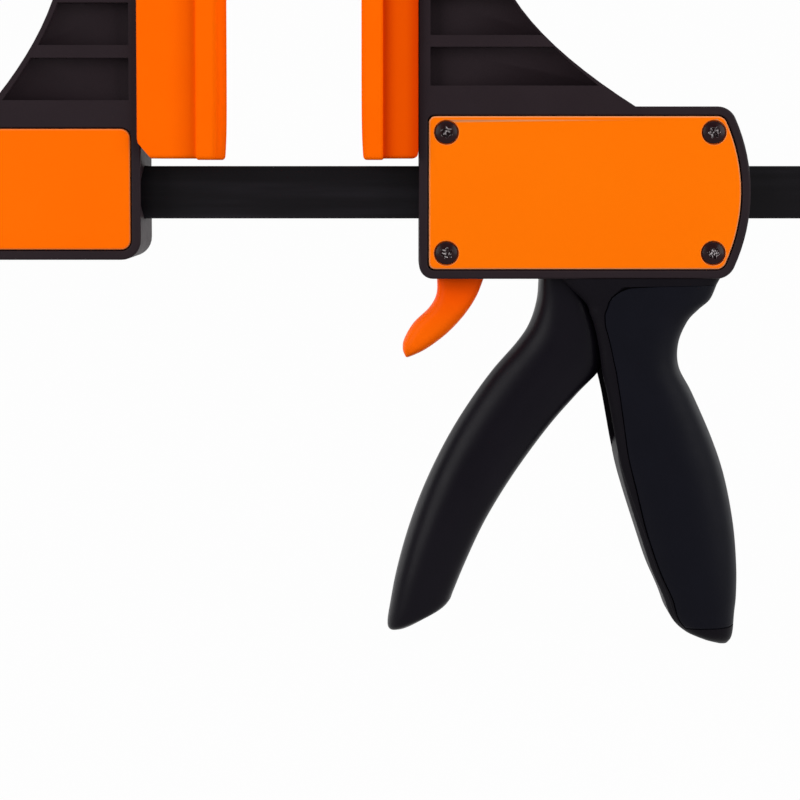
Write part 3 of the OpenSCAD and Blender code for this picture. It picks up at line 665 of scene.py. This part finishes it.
def fork_arm(y0, y1):
    """One arm of the fork: chamfered rectangles from the boss down to the blade. At the height h
    over the pivot the boss reaches sqrt(r^2 - h^2) to each side of it. From the pivot down the
    front is a straight line. The back is upright from the boss's end to a bend under the bar."""
    boss, foot, chamfer = 4.8, 25.2, 0.4
    turn_top, turn_end, boss_end = 1.4, -1.047, 4.157
    arm_top, bend = 14, 14.5
    turn = np.linspace(turn_top, turn_end, 22)
    z = np.concatenate([pivot_z + boss * np.sin(turn), np.linspace(arm_top, -foot, 8)])
    swell = np.sqrt(np.maximum(boss ** 2 - (z - pivot_z) ** 2, 0))
    straight_front = np.interp(z, [-foot, pivot_z], [6, boss])
    straight_back = np.interp(z, [-foot, -bend], [1.6, 2.4])
    front = pivot_u - np.where(z > pivot_z, swell, straight_front)
    back = pivot_u + np.where(z > pivot_z - boss_end, swell, straight_back)
    u = np.stack([front, front + chamfer, back - chamfer, back,
                  back, back - chamfer, front + chamfer, front], 1)
    y = np.array([y0 + chamfer, y0, y0, y0 + chamfer, y1 - chamfer, y1, y1, y1 - chamfer])
    return solid_round(under_housing(u, y[None, :], -housing_half - z[:, None]))


def joined(*solids):
    """Points and faces of several solids as one list."""
    starts = np.cumsum([0] + [len(points) for points, _ in solids[:-1]])
    return (np.concatenate([points for points, _ in solids]),
            np.concatenate([faces + start for (_, faces), start in zip(solids, starts)]))


# %% Blade and fork as one piece
arm_inner, arm_outer = 3.7, 8
piece("lever_blade",
      *joined(lofted(lever_rows, rings=150, columns=96, dome=0.5),
              fork_arm(-arm_outer, -arm_inner), fork_arm(arm_inner, arm_outer)),
      "lever", "lever_nylon", "squeeze_lever")

# %% [markdown]
# ## The handle
#
# The handle is moulded twice: a hard core first, and then a soft grip over its back and sides.
# The two meet in a fine seam that runs up the front of the side, turns a round corner under the
# housing, and goes back. So both come from one table, and the seam is a share of the way from
# front to back that changes along the handle. The core sinks under the grip at the seam, and the
# grip's edge is rounded there, which leaves a thin dark groove.

# %% Handle table
handle_rows = np.array([
    # front u, drop, back u, drop, half width, squareness of front, of back
    [49.6, 0, 108.6, 0, 15, 6, 6],
    [53.3, 3.2, 107.5, 2.4, 15, 7, 5],
    [58.9, 8.9, 105.3, 7.8, 15, 6, 4],
    [60.6, 12.9, 101.4, 11.4, 15, 6, 3.6],
    [62.2, 17.2, 97.4, 15.9, 15, 6, 3.2],
    [63.9, 25, 94.3, 23.8, 14.7, 6, 2.8],
    [65.2, 34, 94.6, 32.6, 14.5, 6, 2.6],
    [67.3, 43.4, 99.5, 42.2, 14.5, 6, 2.5],
    [70.7, 63.9, 106.8, 58.8, 15, 5, 2.5],
    [73.7, 77.8, 111.5, 73, 15.5, 3.4, 2.5],
    [77.5, 91.8, 114.8, 90, 15.6, 2.7, 2.5],
    [82.1, 105.8, 116.1, 105, 15.2, 2.6, 2.5],
    [86.7, 116, 116.1, 116, 14.2, 2.6, 2.5],
    [90.2, 124, 115.5, 123, 12.6, 2.6, 2.5],
    [95.8, 129, 115.1, 129, 11, 2.6, 2.5],
    [102.2, 132, 114.5, 132, 8.5, 2.4, 2.4],
    [108.2, 134, 113.4, 134, 4.5, 2.2, 2.2]])

# %% Seam between core and grip
grip_first, grip_last = 1.0, 13.6       # rows of the table where the grip starts and ends
grip_thick = 2.0
seam_at = [1, 1.05, 1.15, 1.35, 1.65, 2, 3, 4, 5, 6, 7, 8, 9, 10, 11, 12, 13]
seam_share = [0.447, 0.393, 0.363, 0.308, 0.233, 0.18, 0.135, 0.118, 0.151, 0.18, 0.144, 0.112,
              0.12, 0.116, 0.135, 0.163, 0.15]


def grip_stations(count):
    """Stations along the grip, closer together at its top, where the seam turns its corner."""
    return grip_first + (grip_last - grip_first) * np.linspace(0, 1, count) ** 1.3


def seam_angle(s, t):
    """Angle on the section where the seam lies: the one whose point is the seam's share of the way
    from front to back. Below the corner, from row 2 on, the shares are averaged over a window."""
    corner_row, window = 2, 13
    t_fine = np.linspace(0.5, 14, 271)
    share = np.interp(t_fine, seam_at, seam_share)
    kernel = np.hanning(window)
    smooth = np.convolve(np.pad(share, window // 2, "edge"), kernel / kernel.sum(), "valid")
    share = np.interp(t, t_fine, np.where(t_fine < corner_row, share, smooth))
    return np.arccos((1 - 2 * share) ** (s[..., 5] / 2))


# %% Room for the lever between the cheeks
def section_length(s):
    """Millimetres from each section's front to its back."""
    return np.hypot(s[:, 2:3] - s[:, :1], s[:, 3:4] - s[:, 1:2])


def along_section(s, share):
    """How far behind the housing's front and below it each section has gone, in millimetres, at a
    share of the way from its front to its back."""
    return (s[:, :1] + (s[:, 2:3] - s[:, :1]) * share,
            s[:, 1:2] + (s[:, 3:4] - s[:, 1:2]) * share)


def room_behind_lever(s):
    """How far behind each section's front, in millimetres, the lever's room ends. That is where
    the section crosses the lever's rear edge, squeezed by 15 degrees, with 0.8 mm to spare."""
    squeeze, spare, rows_inside = math.radians(15), 0.8, 9
    rear = through(lever_rows, np.linspace(0, rows_inside, 60))
    c, n = math.cos(squeeze), math.sin(squeeze)
    x, y = rear[:, 2] - pivot_u, rear[:, 3] - pivot_drop
    rear_u, rear_drop = pivot_u + x * c + y * n + spare, pivot_drop + y * c - x * n
    share = np.linspace(0, 1, 600)[None, :]
    u, drop = along_section(s, share)
    free = u < np.interp(drop, rear_drop, rear_u)
    return share[0, np.argmin(free, 1)][:, None] * section_length(s)


def cheeks(s, a):
    """The front of each section from seam to seam: skin, round lip, wall of the lever's room,
    floor, and the same mirrored. At y across, the skin lies l/2 (1 - (1 - (y/w)^n)^(1/n)) behind
    the front, for a section of length l, half width w and squareness n."""
    lip_round, room_half, room_share = 0.5, 11.2, 0.76
    half, n, length = s[:, 4:5], s[:, 5:6], section_length(s)
    skin = lambda y: length / 2 * (1 - (1 - np.minimum(y / half, 1) ** n) ** (1 / n))
    lip = np.minimum(room_half, room_share * half)
    # The room ends softly where the lever comes out of it: its depth bends to zero, and from
    # 3 to 7 mm in front of the skin it fades out.
    deep = room_behind_lever(s) - skin(lip)
    deep = (deep + np.sqrt(deep ** 2 + 3)) / 2 * np.clip((deep + 7) / 4, 0, 1)
    first = np.minimum(deep, lip_round)
    a_lip = np.arcsin(((lip + lip_round) / half) ** (n / 2))
    y_skin = half * np.sin(a + (a_lip - a) * np.linspace(0, 1, 12)[None, :]) ** (2 / n)
    turn = np.linspace(0, np.pi / 2, 6)[None, 1:]
    y_lip = lip + lip_round * (1 - np.sin(turn))
    # The walls are almost upright, and lean in where the room is less than 2 mm deep.
    down = np.linspace(0, 1, 6)[None, 1:]
    lean = 2.0 * (1 - np.clip(deep / 2, 0, 1))
    y_wall = lip - (lean + 0.02) * down
    y_floor = y_wall[:, -1:] * (1 - np.linspace(0, 1, 5)[None, 1:])
    y = np.concatenate([y_skin, y_lip, y_wall, y_floor], 1)
    x = np.concatenate([skin(y_skin), skin(y_lip) + first * (1 - np.cos(turn)),
                        skin(y_wall) + first + (deep - first) * down,
                        np.maximum(skin(y_floor), skin(y_wall[:, -1:]) + deep)], 1)
    x = np.concatenate([x, x[:, -2::-1]], 1) / length
    y = np.concatenate([-y, y[:, -2::-1]], 1)
    u, drop = along_section(s, x)
    return under_housing(u, y, drop)


# %% Core of the handle
def handle_core():
    """Rings down the handle, each over the cheeks from seam to seam and then round the back, where
    the core is sunk under the grip. A fan from the middle would bar the lever's way into the top,
    so one face with all the corners of the first ring closes it instead."""
    above, beside, below = 8, 130, 24       # rings over, along and under the grip
    round_back = 64                         # columns from seam to seam round the back
    sunk = np.concatenate([np.zeros(above), np.ones(beside), np.zeros(below)])
    t = np.concatenate([np.linspace(0, grip_first - 0.006, above), grip_stations(beside),
                        np.linspace(grip_last + 0.01, len(handle_rows) - 1, below)])
    s = through(handle_rows, t)
    a = seam_angle(s, t)[:, None]
    back = a + (2 * np.pi - 2 * a) * np.linspace(0, 1, round_back)[None, :]
    inset = np.ones_like(back) * grip_thick * sunk[:, None]
    grid = np.concatenate([cheeks(s, a - 0.012), section(s[:, None, :], back, inset)], 1)
    points, faces = solid_round(domed(grid, 0.5))
    amid = len(points) - 2
    fan = faces[(faces == amid).any(1)]
    rim = np.arange(grid.shape[1])
    rim = rim[::-1] if fan[0, 0] == 1 else rim
    faces = faces[(faces != amid).all(1)]
    faces[faces > amid] -= 1
    return np.delete(points, amid, 0), faces.tolist() + [rim.tolist()]


piece("handle_core", *handle_core(), "carriage", "black_nylon", "pistol_handle",
      look="core_nylon")


# %% Soft grip
def slab(outer, inner):
    """A closed sheet between two equal grids, one for each side, stitched round their border."""
    rows, columns = outer.shape[:2]
    points = np.concatenate([outer.reshape(-1, 3), inner.reshape(-1, 3)])
    r, c = np.meshgrid(np.arange(rows - 1), np.arange(columns - 1), indexing="ij")
    skin = np.stack([r * columns + c, r * columns + c + 1, (r + 1) * columns + c + 1,
                     (r + 1) * columns + c], -1).reshape(-1, 4)
    number = np.arange(rows * columns).reshape(rows, columns)
    edge = np.concatenate([number[0, :-1], number[:-1, -1], number[-1, :0:-1], number[:0:-1, 0]])
    after = np.roll(edge, -1)
    wall = np.stack([after, edge, edge + rows * columns, after + rows * columns], -1)
    faces = np.concatenate([skin, skin[:, ::-1] + rows * columns, wall])
    return points, outward(points, faces)


def grip_shell():
    """The grip from seam to seam round the back. Near its border it rolls inwards by a quarter
    circle: with d the distance to the border and r the radius, by r - sqrt(r^2 - (r - d)^2)."""
    edge_round, groove, clear_of_core, crowding = 0.4, 0.006, 0.1, 0.035
    t = grip_stations(150)
    s = through(handle_rows, t)
    a = seam_angle(s, t)[:, None] + groove
    v = np.linspace(0, 1, 130)[None, :]
    v = v - np.sin(4 * np.pi * v) * crowding * (1 - np.abs(1 - 2 * v))   # closer on the palm side
    angle = a + (2 * np.pi - 2 * a) * v
    flat = section(s[:, None, :], angle) / MM
    step_v = np.linalg.norm(np.diff(flat, axis=1), axis=2)
    step_t = np.linalg.norm(np.diff(flat, axis=0), axis=2)
    zero_v, zero_t = np.zeros((flat.shape[0], 1)), np.zeros((1, flat.shape[1]))
    run_v = np.concatenate([zero_v, np.cumsum(step_v, 1)], 1)
    run_t = np.concatenate([zero_t, np.cumsum(step_t, 0)], 0)
    distance = np.minimum.reduce([run_v, run_v[:, -1:] - run_v, run_t, run_t[-1:] - run_t])
    d = np.clip(distance, 0, edge_round)
    roll = edge_round - np.sqrt(edge_round ** 2 - (edge_round - d) ** 2)
    return slab(section(s[:, None, :], angle, roll),
                section(s[:, None, :], angle, np.full_like(roll, grip_thick - clear_of_core)))


piece("handle_soft_grip", *grip_shell(), "carriage", "soft_grip", "handle_grip")

# %% [markdown]
# ## The trigger
#
# A short hook of orange nylon that one finger pulls. It is another loft, which curves forward
# and thins out to a blunt tip.

# %% Trigger
trigger_rows = np.array([
    # front u, drop, back u, drop, half width, squareness of front, of back
    [6.6, -0.8, 24, -0.8, 7, 5, 5],
    [6.6, 6, 21.1, 6.8, 7, 4, 4],
    [4.0, 11.2, 16.7, 13.8, 7, 3, 3],
    [-1.9, 17.0, 10.4, 20.6, 6.7, 2.8, 2.8],
    [-5.3, 22.9, 3.3, 26.0, 6.2, 2.6, 2.6],
    [-5.8, 26.5, -1.3, 28.4, 5.2, 2.4, 2.4],
    [-5.0, 28.8, -3.7, 29.3, 3.6, 2.2, 2.2]])
piece("trigger_hook", *lofted(trigger_rows, rings=70, columns=64, dome=0.3), "brake",
      "orange_nylon", "release_trigger")

# %% [markdown]
# ## The pads
#
# Each pad is a soft shoe: a neck that slips over the jaw's tongue and a wider flange that does
# the clamping. Seen from above it is a T with round corners. That outline is carried up the jaw,
# and drawn in along its own normals near both ends, so that the ends are round as well.

# %% Outline of a pad
arc = 10                  # points in each round corner
flange_deep, flange_half, neck_half = 7.5, 20, 17.5


def rounded(corners, radii):
    """A polygon with round corners: each corner is an arc that touches both its sides, worked out
    as a cubic through the two points where it leaves them, pulled towards the corner."""
    corners = np.array(corners, float)
    before, after = np.roll(corners, 1, 0), np.roll(corners, -1, 0)
    unit = lambda v: v / np.linalg.norm(v, axis=1, keepdims=True)
    a, b = unit(before - corners), unit(after - corners)
    r = np.array(radii, float)[:, None]
    start, end = corners + a * r, corners + b * r
    w = np.linspace(0, 1, arc)[None, :, None]
    pull = 0.5523                       # the pull that makes the cubic a quarter circle
    c0, c1 = start - a * r * pull, end - b * r * pull
    curve = ((1 - w) ** 3 * start[:, None] + 3 * (1 - w) ** 2 * w * c0[:, None]
             + 3 * (1 - w) * w ** 2 * c1[:, None] + w ** 3 * end[:, None])
    return curve.reshape(-1, 2)


def pad_outline(back):
    """The T from above, with the clamping face at 0 and the end of the neck at back."""
    return rounded([(0, -flange_half), (0, flange_half), (-flange_deep, flange_half),
                    (-flange_deep, neck_half), (back, neck_half), (back, -neck_half),
                    (-flange_deep, -neck_half), (-flange_deep, -flange_half)],
                   [2.0, 2.0, 1.1, 0.5, 0.9, 0.9, 0.5, 1.1])


# %% Both pads
def pad(name, body, node, face_x, way, neck, cut, reach):
    """The T outline at each height, where way is -1 for a pad whose neck points to -X. Its lower
    back corner is cut off by pushing the outline's back up to a sloping line, or to a quarter
    circle where reach is the same as cut. Its neck is a little shorter than the flange, and its
    face falls back by 0.7 (h/h_end)^6 towards the ends, at the height h from its middle."""
    low, high, end_round, neck_shorter, face_fall = 11.7, 97.6, 1.3, 0.5, 0.7
    end_rings, side_rings = 8, 58
    back = -(flange_deep + neck)
    outline = pad_outline(back)
    along = np.roll(outline, -1, 0) - np.roll(outline, 1, 0)
    normal = np.stack([-along[:, 1], along[:, 0]], 1)
    normal /= np.linalg.norm(normal, axis=1, keepdims=True) + 1e-9
    turn = np.linspace(0, np.pi / 2, end_rings)
    z = np.concatenate([low + end_round * (1 - np.cos(turn)),
                        np.linspace(low + end_round, high - end_round, side_rings + 2)[1:-1],
                        high - end_round * (1 - np.cos(turn[::-1]))])
    shrink = np.concatenate([end_round * (1 - np.sin(turn)), np.zeros(side_rings),
                             end_round * (1 - np.sin(turn[::-1]))])
    ring = outline[None] + normal[None] * shrink[:, None, None]
    left = np.maximum(cut - (z - low), 0)[:, None]
    round_cut = cut - np.sqrt(np.maximum(cut ** 2 - left ** 2, 0))
    x = np.maximum(ring[..., 0], back + (left * reach / cut if reach < cut else round_cut))
    middle, tall = (low + high) / 2, (high - low) / 2
    fall = face_fall * np.abs((z - middle) / tall)[:, None] ** 6
    x = x - fall * np.clip(1 + x / flange_deep, 0, 1)
    column = np.arange(len(outline))
    on_neck = (column >= 3.5 * arc) & (column < 6.5 * arc)
    height = middle + (z[:, None] - middle) * (1 - on_neck[None, :] * neck_shorter / tall)
    points = place(face_x - way * x, ring[..., 1], height).reshape(-1, 3)
    rows, columns = x.shape
    j = np.arange(arc, 5 * arc - 1)     # the lids join each column to its mirror image
    lid = np.stack([j, j + 1, (2 * arc - 2 - j) % columns, (2 * arc - 1 - j) % columns], 1)
    faces = np.concatenate([tube_faces(rows, columns), lid[:, ::-1], lid + (rows - 1) * columns])
    piece(name, points, outward(points, faces), body, "soft_pad", node)


pad("fixed_pad_shoe", "root", "fixed_jaw_pad", face_x=0.0, way=-1, neck=21.1, cut=6.0, reach=5.0)
pad("movable_pad_shoe", "carriage", "movable_jaw_pad", face_x=51.0, way=1, neck=12.6, cut=2.2,
    reach=2.2)

# %% [markdown]
# ## The cover screws
#
# Eight pan head screws hold the housing's side plates. Their six-lobe recess is drawn as a radius
# that swells six times in a turn. The head is a set of rings: a floor, the recess wall, the crown
# that falls away to the rim, and the shank behind.

# %% One screw, eight times
recess_rings = 4


def screw_rings():
    """Radius and height of each ring, in millimetres, with the height out of the plate. Round the
    recess the radius is 1.82 + 0.30 cos(6 angle), and at the radius r the crown's height is
    2.4 - 1.07 (r/4)^2."""
    head, rim, shank, brim = 4.0, 3.9, 2.0, 0.12
    turn = np.linspace(0, 2 * np.pi, 72, endpoint=False)
    lobes = 1.82 + 0.30 * np.cos(6 * turn)
    crown = lambda r: 2.4 - 1.07 * (r / head) ** 2
    rings = [(lobes * 0.35, 0.92), (lobes * 0.93, 0.95), (lobes, 1.1), (lobes, crown(1.9) - brim),
             (lobes + brim, crown(2.0))]
    for share in np.linspace(0.15, 1, 9):
        radius = (lobes + brim) * (1 - share) + rim * share
        rings.append((radius, crown(radius)))
    rings += [(head, 1.2), (head, 0.1), (rim, 0.0), (shank, 0.0), (shank, -7.2), (1.6, -7.6)]
    radius = np.array([np.broadcast_to(r, turn.shape) for r, _ in rings])
    height = np.array([np.broadcast_to(h, turn.shape) for _, h in rings])
    return radius * np.cos(turn), radius * np.sin(turn), height


def cover_screws(name, side, node):
    """Four screws at the corners of one side plate, each turned a little differently. Their heads
    lie in sinks, and stand a little proud of the plate."""
    plate_inside, plate_thick, head_high, proud = 12.0, 2.6, 2.4, 1.0
    seat = plate_inside + plate_thick - head_high + proud
    across, up, out = screw_rings()
    solids = []
    for k, (u, z) in enumerate(screw_places):
        turned = 0.4 + 1.3 * k
        c, s = math.cos(turned), math.sin(turned)
        solids.append(solid_round(place(carriage_front + u + across * c - up * s,
                                        side * (seat + out), z + across * s + up * c)))
    made = piece(name, *joined(*solids), "carriage", "black_screw", node)
    inside = np.zeros(across.shape)
    inside[:recess_rings] = 1
    middles = [1, 0]                    # of the recess's floor and of the shank's end
    mark = np.tile(np.concatenate([inside.ravel(), middles]), len(screw_places))
    made.data.attributes.new("recess", "FLOAT", "POINT").data.foreach_set("value", mark)


cover_screws("front_screw_heads", -1, "front_cover_screws")
cover_screws("back_screw_heads", 1, "back_cover_screws")

# %% [markdown]
# ## Floor, light and camera
#
# The floor is white and rolls up behind the clamp, so that there is no horizon. The camera sees
# it mostly as plain white, and so do metal and gloss that mirror it, but it keeps a little of the
# real light, and so the shadow. Broad soft boxes stand left and right, in front and behind, and a
# weak one overhead. They are out of the way of what the flat sides mirror, so black plastic stays
# black on its faces and shines along its round edges. The room itself is white to the camera only.

# %% White sweep
def sweep(front=-3.0, flat_end=1.2, roll=0.8, height=4, half_width=4.0):
    """Floor and backdrop in one curve, in metres: flat, then a quarter circle, then upright."""
    low = cad_low[2]
    turn = np.linspace(0, np.pi / 2, 24)[1:]
    quarter = np.stack([flat_end + roll * np.sin(turn), low + roll * (1 - np.cos(turn))], 1)
    line = np.concatenate([[[front, low], [flat_end, low]], quarter,
                           [[flat_end + roll, low + height]]])
    x = np.array([-half_width, half_width])
    points = np.stack([np.repeat(x, len(line)), np.tile(line[:, 0], 2), np.tile(line[:, 1], 2)], 1)
    k = np.arange(len(line) - 1)
    faces = np.stack([k, k + len(line), k + len(line) + 1, k + 1], 1)
    mesh = bpy.data.meshes.new("white_sweep")
    mesh.from_pydata(points.tolist(), [], faces.tolist())
    mesh.shade_smooth()
    made = linked("white_sweep", mesh)
    return made


# %% White paper
paper_grey, glow_share = (0.36, 0.36, 0.36, 1), 0.98
paper = bpy.data.materials.new("white paper")
paper.use_nodes = True
wire = Wire(paper.node_tree)
wire.tree.nodes.remove(wire.tree.nodes["Principled BSDF"])
ray = wire.tree.nodes.new("ShaderNodeLightPath")
camera_ray, mirror_ray, glass_ray = (
    Wire(wire.tree, ray.outputs[f"Is {kind} Ray"]) for kind in ("Camera", "Glossy", "Transmission"))
seen = wire.sum_of("MAXIMUM", camera_ray, wire.sum_of("MAXIMUM", mirror_ray, glass_ray))
matt = wire.node("ShaderNodeBsdfDiffuse", None, {"Color": paper_grey})
glow = wire.node("ShaderNodeEmission", None, {"Color": (1, 1, 1, 1), "Strength": 1.0})
mixed = wire.node("ShaderNodeMixShader", None, {0: seen * glow_share, 1: matt, 2: glow})
wire.tree.links.new(mixed.socket, wire.tree.nodes["Material Output"].inputs["Surface"])
sweep().data.materials.append(paper)
print("floor at", round(cad_low[2], 4), "m, the lowest point of the clamp")


# %% Soft boxes
clamp_middle = (0.09, 0, -0.07)
tall, broad = (0.9, 1.3), (1.4, 0.9)


def soft_box(name, where, size, watts):
    """A rectangular area light that faces the clamp."""
    lamp = bpy.data.lights.new(name, "AREA")
    lamp.shape, lamp.size, lamp.size_y = "RECTANGLE", size[0], size[1]
    lamp.energy = watts
    made = linked(name, lamp)
    made.location = where
    gap = np.array(clamp_middle) - np.array(where)
    made.rotation_euler = (math.atan2(np.hypot(gap[0], gap[1]), -gap[2]), 0,
                           math.atan2(gap[1], gap[0]) - math.pi / 2)
    made.visible_camera = False
    print(f"{name}: {watts} W, {np.linalg.norm(gap):.2f} m from the clamp")


soft_box("left box", (-1.15, -0.95, 0.35), tall, 17.5)
soft_box("right box", (1.35, -0.85, 0.25), tall, 17)
soft_box("top box", (0.1, -0.5, 1.5), broad, 6)
soft_box("left box behind", (-1.35, 0.85, 0.35), tall, 7)
soft_box("right box behind", (1.50, 0.80, 0.30), tall, 10)

# %% Even light of the room
room_light, more_to_camera = 0.28, 0.705
world = bpy.data.worlds.new("room")
bpy.context.scene.world = world
world.use_nodes = True
background = world.node_tree.nodes["Background"]
background.inputs["Color"].default_value = (1, 1, 1, 1)
ray = world.node_tree.nodes.new("ShaderNodeLightPath")
strength = room_light + Wire(world.node_tree, ray.outputs["Is Camera Ray"]) * more_to_camera
world.node_tree.links.new(strength.socket, background.inputs["Strength"])

# %% Camera
tilt_down = 2.5           # degrees
lens = bpy.data.cameras.new("camera")
lens.sensor_width, lens.lens, lens.shift_y = 36, 81.63, -0.20
lens.clip_start, lens.clip_end = 0.05, 20
camera = linked("camera", lens)
camera.location = (0.06459, -0.660, -0.0437)
camera.rotation_euler = (math.radians(90 - tilt_down), 0, 0)
bpy.context.scene.camera = camera
bpy.context.scene.view_settings.view_transform = "Standard"
print(f"camera: {lens.lens:.1f} mm, {-camera.location[1]:.2f} m in front of the bar")
